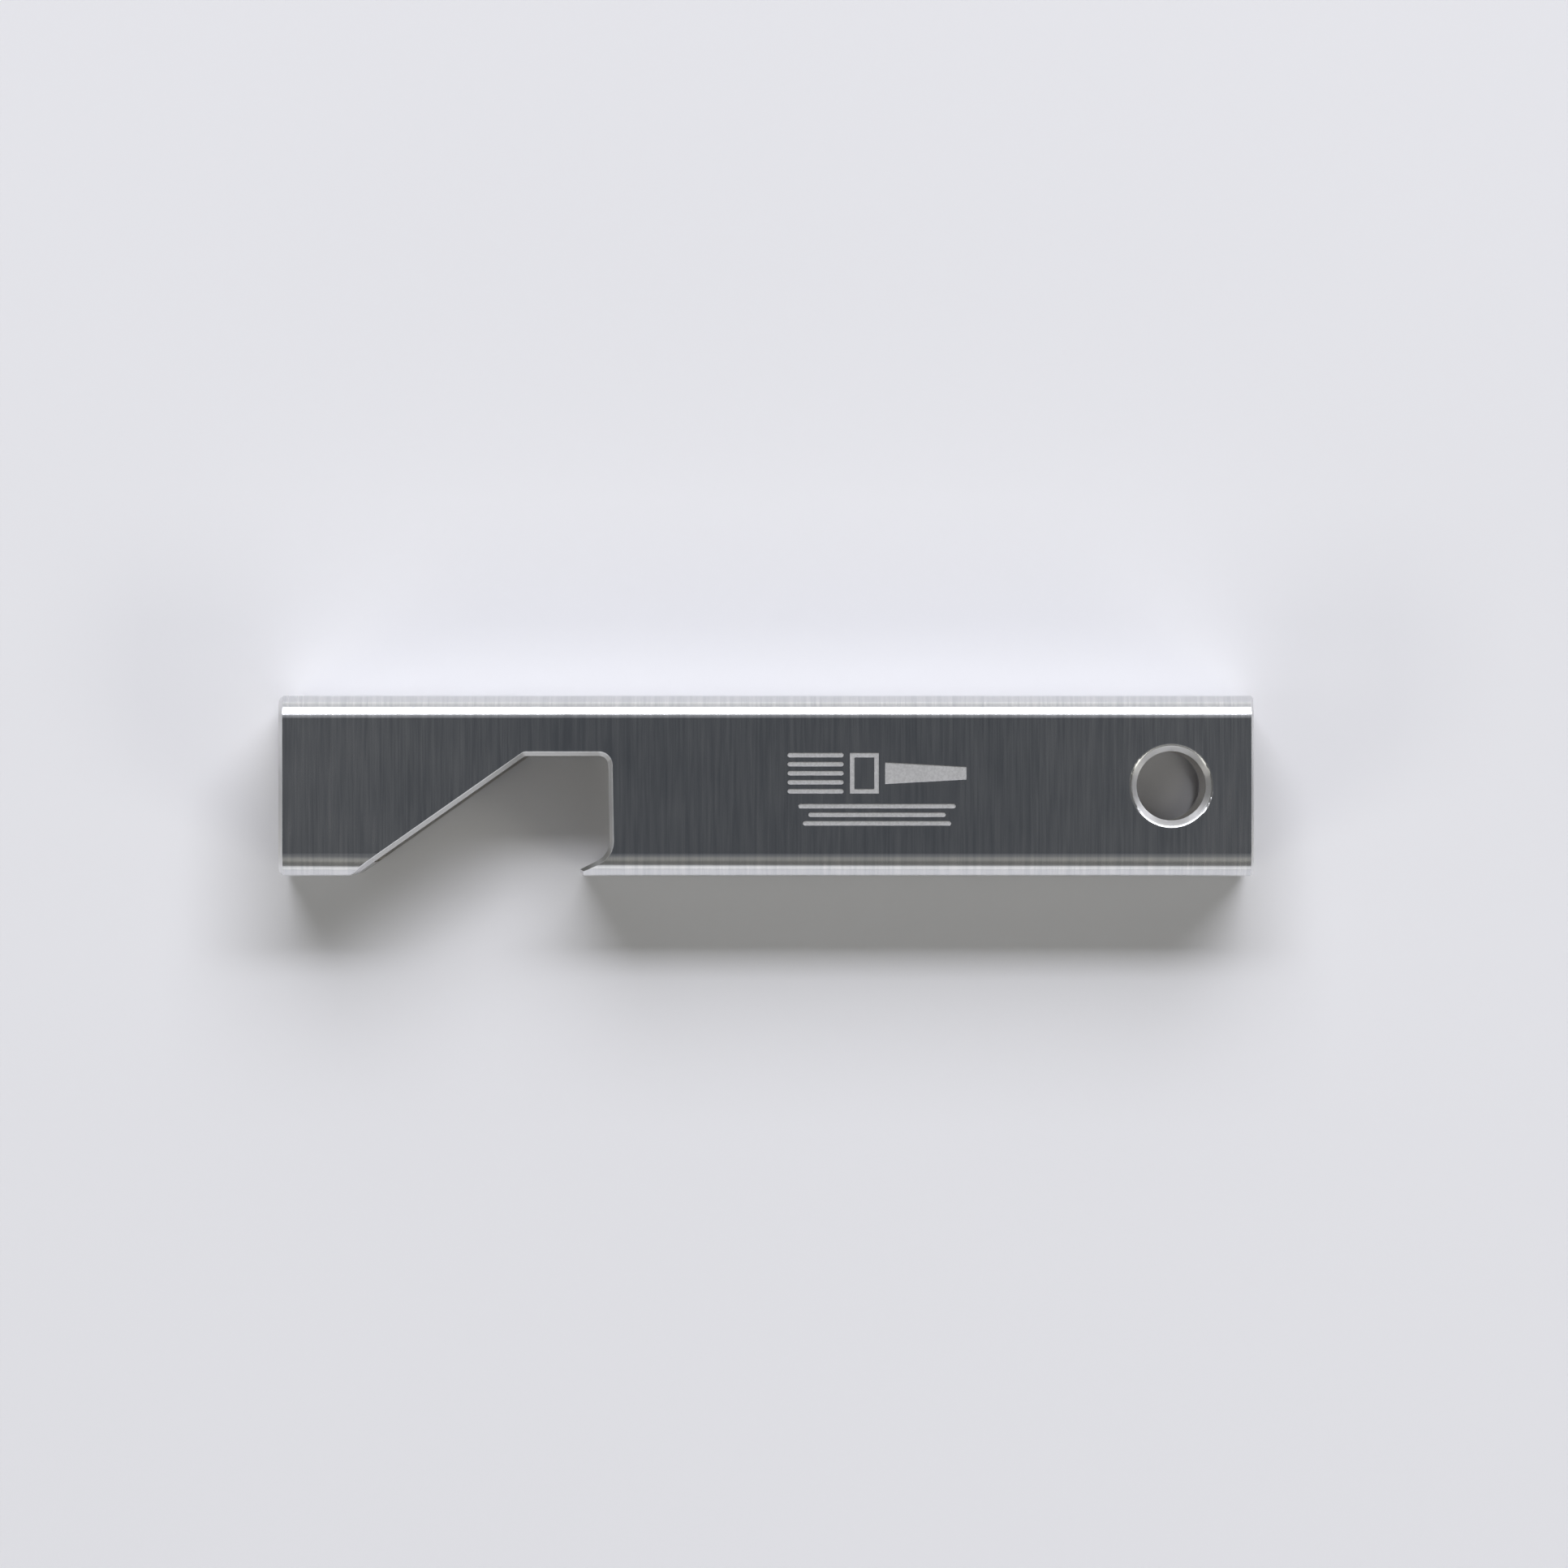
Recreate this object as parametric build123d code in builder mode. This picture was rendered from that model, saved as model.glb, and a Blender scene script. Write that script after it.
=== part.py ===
from build123d import *

import math
import os

# Pocket opener cut from one short length of square steel tube, in millimetres.
# The tube lies along X on its rear face. +Z points out of the front face, which carries the engraved mark.
# +Y points to the spine, the one side that the notch leaves whole.
# The origin is the middle of the rear face, where the tool rests.
# The tube is a steel strip rolled square, made here as that strip and as the weld that closes it.

# Tube
SIZE = 20.0
WALL = 1.5
OUTER_RADIUS = 2.5
LENGTH = 108.0
NOTCH_END_CHAMFER = 0.45
HOLE_END_CHAMFER = 0.25
BORE_CHAMFER = 0.2

# Notch, cut through the front wall, the floor wall and the rear wall
SLANT_ANGLE = 35.0
SLANT_FOOT_X = -45.7
SLANT_RADIUS = 0.5
ROOF_Y = 3.3
ROOF_END_X = -17.5
ROOF_RADIUS = 1.0
THROAT_X = -17.3
THROAT_RADIUS = 2.35
LIP_TIP_X = -20.7
LIP_TIP_THICKNESS = 0.68
LIP_ANGLE = 27.0
NOTCH_CHAMFER = 0.5

# Hanging hole, through the front wall and the rear wall
HOLE_X = 44.9
HOLE_RADIUS = 3.85
HOLE_BEVEL = 0.65
HOLE_ROUNDING = 0.5

# Seam weld along the middle of the spine wall
SEAM_WIDTH = 1.8
BEAD_WIDTH = 3.0
BEAD_HEIGHT = 0.35

# Engraved mark: a flat brush above the stroke it has drawn
MARK_X = 12.3
MARK_DEPTH = 0.12
BRUSH_Y = 1.4
BRUSH_HEIGHT = 4.5
BRISTLE_COUNT = 5
BRISTLE_LENGTH = 6.2
FERRULE_LENGTH = 3.2
HANDLE_LENGTH = 9.0
HANDLE_NECK = 2.4
HANDLE_END = 1.4
PIECE_GAP = 0.7
LINE_WIDTH = 0.5
STROKE_Y = -3.2
STROKE_PITCH = 0.95
STROKE_LENGTHS = (17.4, 15.2, 16.4)

# Derived from the above
INNER_RADIUS = OUTER_RADIUS - WALL
CORNER_CENTRE = SIZE / 2 - OUTER_RADIUS
MIDDLE_Z = SIZE / 2
INNER_Y = SIZE / 2 - WALL
START = Plane.YZ.offset(-LENGTH / 2)
END_CHAMFERS = ((-1, NOTCH_END_CHAMFER), (1, HOLE_END_CHAMFER))
TOUCHING = 1e-4


def on_outside(edge):
    """Whether the middle of an edge lies on the tube's outer surface."""
    middle = edge @ 0.5
    past_y = max(abs(middle.Y) - CORNER_CENTRE, 0)
    past_z = max(abs(middle.Z - MIDDLE_Z) - CORNER_CENTRE, 0)
    return abs(math.hypot(past_y, past_z) - OUTER_RADIUS) < TOUCHING


def on_cylinder(edge, radius):
    """Whether an edge is a circle, or part of one, of the given radius."""
    return edge.geom_type == GeomType.CIRCLE and abs(edge.radius - radius) < TOUCHING


def on_outline(edge, outline):
    """Whether the middle of an edge lies above or below a flat outline, seen along Z."""
    middle = edge @ 0.5
    return outline.distance_to(Vertex(middle.X, middle.Y, 0)) < TOUCHING


def end_face(piece, sign):
    """The flat end of a piece, at the notch's end for sign -1 and at the hole's end for sign 1."""
    return piece.faces().filter_by(Axis.X).sort_by(Axis.X, reverse=sign > 0)[0]


# Notch outline, seen from the front: slanted side, roof, throat, sloping top of the lip, and the lip's tip
UNDER = -SIZE
SLANT_RISE = math.tan(math.radians(SLANT_ANGLE))
LIP_TIP_Y = -SIZE / 2 + LIP_TIP_THICKNESS
LIP_ROOT_Y = LIP_TIP_Y + (THROAT_X - LIP_TIP_X) * math.tan(math.radians(LIP_ANGLE))

with BuildSketch() as notch:
    with BuildLine():
        cut = FilletPolyline(
            (SLANT_FOOT_X + (UNDER + SIZE / 2) / SLANT_RISE, UNDER),
            (SLANT_FOOT_X + (ROOF_Y + SIZE / 2) / SLANT_RISE, ROOF_Y),
            (ROOF_END_X, ROOF_Y),
            (THROAT_X, LIP_ROOT_Y),
            (LIP_TIP_X, LIP_TIP_Y),
            radius=[SLANT_RADIUS, ROOF_RADIUS, THROAT_RADIUS],
        )
        Polyline(cut @ 1, (LIP_TIP_X, UNDER), cut @ 0)
    make_face()

# Engraved mark, seen from the front, with the bristles to the left
BRUSH_LENGTH = BRISTLE_LENGTH + FERRULE_LENGTH + HANDLE_LENGTH + 2 * PIECE_GAP
BRISTLE_X = MARK_X - BRUSH_LENGTH / 2 + BRISTLE_LENGTH / 2
FERRULE_X = BRISTLE_X + (BRISTLE_LENGTH + FERRULE_LENGTH) / 2 + PIECE_GAP
HANDLE_X = FERRULE_X + FERRULE_LENGTH / 2 + PIECE_GAP
BRISTLE_PITCH = (BRUSH_HEIGHT - LINE_WIDTH) / (BRISTLE_COUNT - 1)

with BuildSketch(Plane.XY.offset(SIZE)) as mark:
    with Locations((BRISTLE_X, BRUSH_Y)):
        with GridLocations(0, BRISTLE_PITCH, 1, BRISTLE_COUNT):
            SlotOverall(BRISTLE_LENGTH, LINE_WIDTH)
    with Locations((FERRULE_X, BRUSH_Y)):
        Rectangle(FERRULE_LENGTH, BRUSH_HEIGHT)
        Rectangle(FERRULE_LENGTH - 2 * LINE_WIDTH, BRUSH_HEIGHT - 2 * LINE_WIDTH, mode=Mode.SUBTRACT)
    with BuildLine():
        Polyline(
            (HANDLE_X, BRUSH_Y - HANDLE_NECK / 2),
            (HANDLE_X + HANDLE_LENGTH, BRUSH_Y - HANDLE_END / 2),
            (HANDLE_X + HANDLE_LENGTH, BRUSH_Y + HANDLE_END / 2),
            (HANDLE_X, BRUSH_Y + HANDLE_NECK / 2),
            close=True,
        )
    make_face()
    for row, length in enumerate(STROKE_LENGTHS):
        with Locations((MARK_X, STROKE_Y + (1 - row) * STROKE_PITCH)):
            SlotOverall(length, LINE_WIDTH)

# Tube wall: the rolled strip, open along the seam
with BuildPart() as tube_wall:
    with BuildSketch(START):
        with Locations((0, MIDDLE_Z)):
            RectangleRounded(SIZE, SIZE, OUTER_RADIUS)
            RectangleRounded(SIZE - 2 * WALL, SIZE - 2 * WALL, INNER_RADIUS, mode=Mode.SUBTRACT)
    extrude(amount=LENGTH)
    for sign, outer_chamfer in END_CHAMFERS:
        chamfer(end_face(tube_wall, sign).outer_wire().edges(), outer_chamfer)
        chamfer(end_face(tube_wall, sign).inner_wires()[0].edges(), BORE_CHAMFER)

    extrude(notch.sketch, amount=SIZE, mode=Mode.SUBTRACT)
    rim = tube_wall.edges().filter_by(on_outside).filter_by(lambda edge: on_outline(edge, notch.wire()))
    chamfer(rim, NOTCH_CHAMFER)

    with Locations((HOLE_X, 0, 0)):
        Cylinder(HOLE_RADIUS, SIZE, align=(Align.CENTER, Align.CENTER, Align.MIN), mode=Mode.SUBTRACT)
    hole_rims = tube_wall.edges().filter_by(on_outside).filter_by(lambda edge: on_cylinder(edge, HOLE_RADIUS))
    chamfer(hole_rims, HOLE_BEVEL)
    bevel_rims = tube_wall.edges().filter_by(lambda edge: on_cylinder(edge, HOLE_RADIUS + HOLE_BEVEL))
    fillet(bevel_rims, HOLE_ROUNDING)

    extrude(mark.sketch, amount=-MARK_DEPTH, mode=Mode.SUBTRACT)

    with Locations((0, (INNER_Y + SIZE / 2) / 2, MIDDLE_Z)):
        Box(LENGTH, WALL, SEAM_WIDTH, mode=Mode.SUBTRACT)

# Seam weld: fills the gap between the strip's edges, and stands into the bore as a low bead
with BuildPart() as seam_weld:
    with BuildSketch(START):
        with BuildLine():
            ThreePointArc(
                (INNER_Y, MIDDLE_Z - BEAD_WIDTH / 2),
                (INNER_Y - BEAD_HEIGHT, MIDDLE_Z),
                (INNER_Y, MIDDLE_Z + BEAD_WIDTH / 2),
            )
            Polyline(
                (INNER_Y, MIDDLE_Z + BEAD_WIDTH / 2),
                (INNER_Y, MIDDLE_Z + SEAM_WIDTH / 2),
                (SIZE / 2, MIDDLE_Z + SEAM_WIDTH / 2),
                (SIZE / 2, MIDDLE_Z - SEAM_WIDTH / 2),
                (INNER_Y, MIDDLE_Z - SEAM_WIDTH / 2),
                (INNER_Y, MIDDLE_Z - BEAD_WIDTH / 2),
            )
        make_face()
    extrude(amount=LENGTH)
    for sign, outer_chamfer in END_CHAMFERS:
        chamfer(end_face(seam_weld, sign).edges().sort_by(Axis.Y)[-1], outer_chamfer)

os.makedirs("parts", exist_ok=True)
tube_wall.part.label = "tube_wall"
seam_weld.part.label = "seam_weld"
export_step(tube_wall.part, "parts/tube_wall.step")
export_step(seam_weld.part, "parts/seam_weld.step")
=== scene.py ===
"""The looks of a pocket opener cut from square steel tube: camera, light, floor and metal."""

import math

import bpy
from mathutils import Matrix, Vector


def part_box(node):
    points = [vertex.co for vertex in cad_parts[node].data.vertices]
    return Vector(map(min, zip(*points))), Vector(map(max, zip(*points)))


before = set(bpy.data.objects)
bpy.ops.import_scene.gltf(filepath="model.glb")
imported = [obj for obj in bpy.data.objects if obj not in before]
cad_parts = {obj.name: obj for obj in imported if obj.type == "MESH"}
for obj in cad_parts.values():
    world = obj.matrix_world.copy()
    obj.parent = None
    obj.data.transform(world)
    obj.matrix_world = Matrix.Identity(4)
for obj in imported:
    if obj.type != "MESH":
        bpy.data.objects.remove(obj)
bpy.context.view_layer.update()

MM = 0.001
LOW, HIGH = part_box("tube_wall")
MIDDLE = (LOW + HIGH) / 2
HALF = (HIGH - LOW) / 2

# Sizes of the tube, in metres, as its CAD source has them
WALL = 1.5 * MM
CORNER_RADIUS = 2.5 * MM
FLAT_HALF = HALF.y - CORNER_RADIUS
NOTCH_MIDDLE_X = -31.5 * MM
NOTCH_HALF_LENGTH = 15.5 * MM

# Camera
CAMERA_X = 0.0020
CAMERA_Y = 0.0002
CAMERA_HEIGHT = 1.116
CAMERA_SENSOR = 36.0
CAMERA_RANGE = (0.01, 20.0)
VIEW_HALF_WIDTH = 0.0868

# Lights: level rectangles, each with its centre, its size, its radiance and its colour.
# Centres and sizes along X and Y are shares of the lights' height.
LIGHT_HEIGHT = 2.5
COOL = (0.935, 0.940, 1.0)
WARM = (1.0, 0.98, 0.90)
LIGHTS = {
    "key": ((0.11, 0.545), (0.94, 0.20), 14.0, COOL),
    "tail": ((0.11, 1.07), (1.20, 0.85), 3.6, COOL),
    "far_tail": ((0.11, 2.05), (1.60, 1.10), 0.55, COOL),
    "left_fill": ((-1.17, -0.82), (0.70, 0.70), 3.4, WARM),
    "right_fill": ((1.17, -0.82), (0.70, 0.70), 3.4, WARM),
}

# Reflectors: upright panels that brighten the horizon, each with its place along Y and its radiance
REFLECTORS = {"far_reflector": (3.0, 0.40), "near_reflector": (-3.0, 0.45)}
REFLECTOR_SIZE = (6.0, 1.1)
REFLECTOR_BOTTOM = 0.05

# Surroundings: colour by height, where 0 is the horizon and 1 is straight up
SKY = (
    (0.0, (0.60, 0.60, 0.58)),
    (0.14, (0.47, 0.47, 0.455)),
    (0.32, (0.26, 0.26, 0.25)),
    (0.48, (0.15, 0.15, 0.145)),
    (0.74, (0.15, 0.15, 0.143)),
    (0.80, (0.23, 0.23, 0.22)),
    (0.90, (0.24, 0.24, 0.235)),
    (0.955, (0.190, 0.195, 0.206)),
    (0.985, (0.112, 0.120, 0.135)),
    (1.0, (0.074, 0.082, 0.096)),
)
SKY_ALONG_X = 0.55

# Floor: its colour varies a little, in clouds
FLOOR_HALF_WIDTH = 6.0
FLOOR_COLOUR = (0.785, 0.785, 0.80)
FLOOR_SHADES = (0.985, 1.015)
FLOOR_CLOUDS = (6, 6, 6)

# Steel: colours
BARE = (0.86, 0.86, 0.86)
WORN = (0.70, 0.71, 0.725)
CUT = (0.82, 0.82, 0.82)
FILED = (0.56, 0.56, 0.56)
FROST = (0.97, 0.97, 0.97)
BORE = (0.76, 0.74, 0.71)
BEAD_STRAW = (0.50, 0.45, 0.39)
BEAD_GREY = (0.50, 0.50, 0.54)
FROST_DARK = 0.88
BORE_DARK = 0.8
PATCH_WEAR = 0.35

# Steel: noise, in waves per metre along X, Y and Z
FINE_LINES = (6500, 90, 90)
COARSE_LINES = (2300, 130, 130)
PATCHES = (110, 150, 150)
GRIT = (4500, 4500, 4500)
BORE_STREAKS = (60, 900, 900)
BORE_GRAIN = (200, 1500, 1500)
BEAD_TINTS = (60, 400, 400)
BEAD_RIPPLES = (1100, 300, 300)
FINE_SHARE = 0.45

# Steel: roughness of the brushed lines, and what each finish adds to it
ROUGH_LINES = (0.17, 0.27)
ROUGH_HANDLED = 0.04
ROUGH_PATCH = 0.06
ROUGH_MACHINED = 0.12
ROUGH_FROSTED = 0.45
ROUGH_INSIDE = 0.14

# Steel: relief, and how much of it machining takes away
RELIEF_STRENGTH = 0.45
RELIEF_DEPTH = 0.02 * MM
MACHINED_AWAY = 0.6


def camera():
    """Looks straight down, with +Y up in the picture."""
    data = bpy.data.cameras.new("camera")
    data.sensor_width = CAMERA_SENSOR
    data.lens = CAMERA_SENSOR / 2 * CAMERA_HEIGHT / VIEW_HALF_WIDTH
    data.clip_start, data.clip_end = CAMERA_RANGE
    made = bpy.data.objects.new("camera", data)
    made.location = (CAMERA_X, CAMERA_Y, HIGH.z + CAMERA_HEIGHT)
    bpy.context.scene.collection.objects.link(made)
    bpy.context.scene.camera = made


class Nodes:
    """Short ways to add shader nodes to one tree."""

    def __init__(self, tree):
        self.tree = tree
        tree.nodes.clear()

    def add(self, kind, sockets=None, **settings):
        """A node with its settings made and its input sockets set to a value or linked to an output."""
        node = self.tree.nodes.new(kind)
        for name, value in settings.items():
            setattr(node, name, value)
        for name, value in (sockets or {}).items():
            self.feed(node.inputs[name], value)
        return node

    def feed(self, socket, value):
        if isinstance(value, bpy.types.NodeSocket):
            self.tree.links.new(value, socket)
        else:
            socket.default_value = value

    def math(self, operation, *values):
        node = self.add("ShaderNodeMath", {i: v for i, v in enumerate(values)}, operation=operation)
        return node.outputs[0]

    def smooth(self, value, start, end):
        """0 below start, 1 above end, and smooth between. Start may be above end, which turns it round."""
        rising = start < end
        low, high = (start, end) if rising else (end, start)
        node = self.add(
            "ShaderNodeMapRange",
            {
                "Value": value,
                "From Min": low,
                "From Max": high,
                "To Min": 0.0 if rising else 1.0,
                "To Max": 1.0 if rising else 0.0,
            },
            interpolation_type="SMOOTHSTEP",
        )
        return node.outputs["Result"]

    def span(self, value, low, high):
        """Low to high for a value that goes from 0 to 1."""
        node = self.add("ShaderNodeMapRange", {"Value": value, "To Min": low, "To Max": high})
        return node.outputs["Result"]

    def ramp(self, value, stops):
        """Colour by position, from a list of (position, colour), joined by smooth curves."""
        node = self.add("ShaderNodeValToRGB", {"Fac": value})
        node.color_ramp.interpolation = "EASE"
        while len(node.color_ramp.elements) < len(stops):
            node.color_ramp.elements.new(0.5)
        for element, (position, colour) in zip(node.color_ramp.elements, stops):
            element.position = position
            element.color = (*colour, 1)
        return node.outputs["Color"]

    def noise(self, position, stretch, detail=2.0, roughness=0.5):
        """Noise from 0 to 1 with that many waves per metre along X, Y and Z."""
        moved = self.add("ShaderNodeVectorMath", {0: position, 1: stretch}, operation="MULTIPLY")
        sockets = {"Vector": moved.outputs[0], "Scale": 1.0, "Detail": detail, "Roughness": roughness}
        return self.add("ShaderNodeTexNoise", sockets, noise_dimensions="3D").outputs["Fac"]

    def mix(self, share, low, high):
        """Colour between low and high, each one a colour or an output."""
        node = self.add("ShaderNodeMix", data_type="RGBA")
        factor, first, second = (s for s in node.inputs if s.enabled)
        self.feed(factor, share)
        self.feed(first, low if isinstance(low, bpy.types.NodeSocket) else (*low, 1))
        self.feed(second, high if isinstance(high, bpy.types.NodeSocket) else (*high, 1))
        return next(s for s in node.outputs if s.enabled)


def set_sockets(node, values):
    for name, value in values.items():
        node.inputs[name].default_value = value


def area_light(name, place, size, radiance, colour, turn=0.0):
    """A rectangle that gives the same radiance all over. It faces down, or is turned about X from there."""
    data = bpy.data.lights.new(name, "AREA")
    data.shape = "RECTANGLE"
    data.size, data.size_y = size
    data.energy = math.pi * size[0] * size[1] * radiance
    data.color = colour
    made = bpy.data.objects.new(name, data)
    made.location = place
    made.rotation_euler.x = turn
    bpy.context.scene.collection.objects.link(made)


def lights():
    for name, (centre, size, radiance, colour) in LIGHTS.items():
        place = (centre[0] * LIGHT_HEIGHT, centre[1] * LIGHT_HEIGHT, LIGHT_HEIGHT)
        area_light(name, place, [share * LIGHT_HEIGHT for share in size], radiance, colour)
    for name, (along_y, radiance) in REFLECTORS.items():
        place = (0.0, along_y, REFLECTOR_BOTTOM + REFLECTOR_SIZE[1] / 2)
        towards_tube = -math.copysign(math.pi / 2, along_y)
        area_light(name, place, REFLECTOR_SIZE, radiance, COOL, turn=towards_tube)


def surroundings():
    """A dim ceiling over the object and a brighter horizon, dimmer towards the tube's ends."""
    world = bpy.data.worlds.new("surroundings")
    bpy.context.scene.world = world
    world.use_nodes = True
    nodes = Nodes(world.node_tree)
    direction = nodes.add("ShaderNodeTexCoord").outputs["Generated"]
    part = nodes.add("ShaderNodeSeparateXYZ", {"Vector": direction}).outputs
    level = nodes.add("ShaderNodeCombineXYZ", {"X": part["X"], "Y": part["Y"]}).outputs[0]
    heading = nodes.add("ShaderNodeVectorMath", {0: level}, operation="NORMALIZE").outputs[0]
    along_y = nodes.add("ShaderNodeSeparateXYZ", {"Vector": heading}).outputs["Y"]
    strength = nodes.span(nodes.math("MULTIPLY", along_y, along_y), SKY_ALONG_X, 1.0)
    sky = nodes.ramp(part["Z"], SKY)
    background = nodes.add("ShaderNodeBackground", {"Color": sky, "Strength": strength})
    nodes.add("ShaderNodeOutputWorld", {"Surface": background.outputs[0]})


def floor():
    mesh = bpy.data.meshes.new("floor")
    half = FLOOR_HALF_WIDTH
    corners = [(-half, -half, 0), (half, -half, 0), (half, half, 0), (-half, half, 0)]
    mesh.from_pydata(corners, [], [(0, 1, 2, 3)])
    made = bpy.data.objects.new("floor", mesh)
    bpy.context.scene.collection.objects.link(made)
    material = bpy.data.materials.new("pale_floor")
    material.use_nodes = True
    nodes = Nodes(material.node_tree)
    place = nodes.add("ShaderNodeTexCoord").outputs["Object"]
    cloud = nodes.noise(place, FLOOR_CLOUDS, detail=3)
    low, high = [tuple(c * share for c in FLOOR_COLOUR) for share in FLOOR_SHADES]
    shader = nodes.add("ShaderNodeBsdfPrincipled", {"Base Color": nodes.mix(cloud, low, high)})
    set_sockets(shader, {"Roughness": 0.9, "Specular IOR Level": 0.1})
    nodes.add("ShaderNodeOutputMaterial", {"Surface": shader.outputs[0]})
    mesh.materials.append(material)


def depth_in_wall(nodes, place):
    """How far a point lies under the tube's outer surface, which is square with rounded corners."""
    past_y = nodes.math("SUBTRACT", nodes.math("ABSOLUTE", place["Y"]), FLAT_HALF)
    from_middle = nodes.math("ABSOLUTE", nodes.math("SUBTRACT", place["Z"], MIDDLE.z))
    past_z = nodes.math("SUBTRACT", from_middle, FLAT_HALF)
    past = nodes.add(
        "ShaderNodeCombineXYZ",
        {"Y": nodes.math("MAXIMUM", past_y, 0.0), "Z": nodes.math("MAXIMUM", past_z, 0.0)},
    )
    reach = nodes.add("ShaderNodeVectorMath", {0: past.outputs[0]}, operation="LENGTH").outputs["Value"]
    return nodes.math("SUBTRACT", CORNER_RADIUS, reach)


def steel(name, inner_colour, inner_height):
    """Steel brushed round the section outside, cut bright at the rims, frosted in the mark and plain inside.

    The last two arguments make the colour and the relief of the inside, from the nodes and the position.
    """
    material = bpy.data.materials.new(name)
    material.use_nodes = True
    nodes = Nodes(material.node_tree)
    position = nodes.add("ShaderNodeTexCoord").outputs["Object"]
    place = nodes.add("ShaderNodeSeparateXYZ", {"Vector": position}).outputs
    geometry = nodes.add("ShaderNodeNewGeometry").outputs
    normal = nodes.add("ShaderNodeSeparateXYZ", {"Vector": geometry["True Normal"]}).outputs

    # Where each finish is, from 0 to 1
    depth = depth_in_wall(nodes, place)
    under_skin = nodes.smooth(depth, 0.05 * MM, 0.10 * MM)
    inside = nodes.smooth(depth, WALL - 0.10 * MM, WALL - 0.03 * MM)
    in_wall = nodes.math("MULTIPLY", under_skin, nodes.math("SUBTRACT", 1.0, inside))
    frosted = nodes.math("MULTIPLY", in_wall, nodes.smooth(normal["Z"], 0.97, 0.99))
    machined = nodes.math("SUBTRACT", in_wall, frosted)
    from_notch = nodes.math("ABSOLUTE", nodes.math("SUBTRACT", place["X"], NOTCH_MIDDLE_X))
    at_notch = nodes.smooth(from_notch, NOTCH_HALF_LENGTH + 1 * MM, NOTCH_HALF_LENGTH)
    handled = nodes.smooth(nodes.math("ABSOLUTE", place["X"]), 0.3 * HALF.x, 0.95 * HALF.x)

    # Brush lines run round the section, so they are fine along X and long across it
    fine = nodes.noise(position, FINE_LINES, detail=3, roughness=0.6)
    coarse = nodes.noise(position, COARSE_LINES, detail=2)
    patch = nodes.noise(position, PATCHES, detail=3)
    grit = nodes.noise(position, GRIT, detail=2)
    fine_part = nodes.math("MULTIPLY", fine, FINE_SHARE)
    lines = nodes.math("ADD", fine_part, nodes.math("MULTIPLY", coarse, 1 - FINE_SHARE))

    colour = nodes.mix(nodes.smooth(lines, 0.3, 0.7), WORN, BARE)
    colour = nodes.mix(nodes.math("MULTIPLY", patch, PATCH_WEAR), colour, WORN)
    colour = nodes.mix(machined, colour, nodes.mix(at_notch, CUT, FILED))
    frost = nodes.mix(nodes.smooth(grit, 0.3, 0.7), tuple(FROST_DARK * c for c in FROST), FROST)
    colour = nodes.mix(frosted, colour, frost)
    colour = nodes.mix(inside, colour, inner_colour(nodes, position))

    rough = nodes.span(lines, *ROUGH_LINES)
    rough = nodes.math("ADD", rough, nodes.math("MULTIPLY", handled, ROUGH_HANDLED))
    patch_change = nodes.math("MULTIPLY", nodes.math("SUBTRACT", patch, 0.5), ROUGH_PATCH)
    rough = nodes.math("ADD", rough, patch_change)
    rough = nodes.math("ADD", rough, nodes.math("MULTIPLY", machined, ROUGH_MACHINED))
    rough = nodes.math("ADD", rough, nodes.math("MULTIPLY", frosted, ROUGH_FROSTED))
    rough = nodes.math("ADD", rough, nodes.math("MULTIPLY", inside, ROUGH_INSIDE))

    kept = nodes.math("SUBTRACT", 1.0, nodes.math("MULTIPLY", machined, MACHINED_AWAY))
    relief = nodes.math("MULTIPLY", lines, kept)
    relief = nodes.mix(inside, relief, inner_height(nodes, position))
    relief_sockets = {"Strength": RELIEF_STRENGTH, "Distance": RELIEF_DEPTH, "Height": relief}
    bump = nodes.add("ShaderNodeBump", relief_sockets)
    tangent = nodes.add("ShaderNodeTangent", direction_type="RADIAL", axis="X")
    shader = nodes.add(
        "ShaderNodeBsdfPrincipled",
        {
            "Base Color": colour,
            "Roughness": rough,
            "Normal": bump.outputs["Normal"],
            "Tangent": tangent.outputs["Tangent"],
        },
    )
    set_sockets(shader, {"Metallic": 1.0, "Anisotropic": 0.8, "Anisotropic Rotation": 0.25})
    nodes.add("ShaderNodeOutputMaterial", {"Surface": shader.outputs[0]})
    return material


def bore_colour(nodes, position):
    """Mill finish, a little darker in streaks along the tube."""
    streaks = nodes.noise(position, BORE_STREAKS, detail=2)
    return nodes.mix(streaks, BORE, tuple(BORE_DARK * c for c in BORE))


def bore_height(nodes, position):
    return nodes.noise(position, BORE_GRAIN, detail=2)


def bead_colour(nodes, position):
    """Weld metal tinted straw by its heat."""
    return nodes.mix(nodes.noise(position, BEAD_TINTS), BEAD_STRAW, BEAD_GREY)


def bead_height(nodes, position):
    """Ripples along the bead."""
    return nodes.noise(position, BEAD_RIPPLES, detail=1)


def dress(node, material):
    """Gives a CAD node one material in all of its slots."""
    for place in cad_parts[node].material_slots:
        place.material = material


camera()
bpy.context.scene.view_settings.view_transform = "Standard"
surroundings()
lights()
floor()
dress("tube_wall", steel("brushed_tube", bore_colour, bore_height))
dress("seam_weld", steel("weld", bead_colour, bead_height))
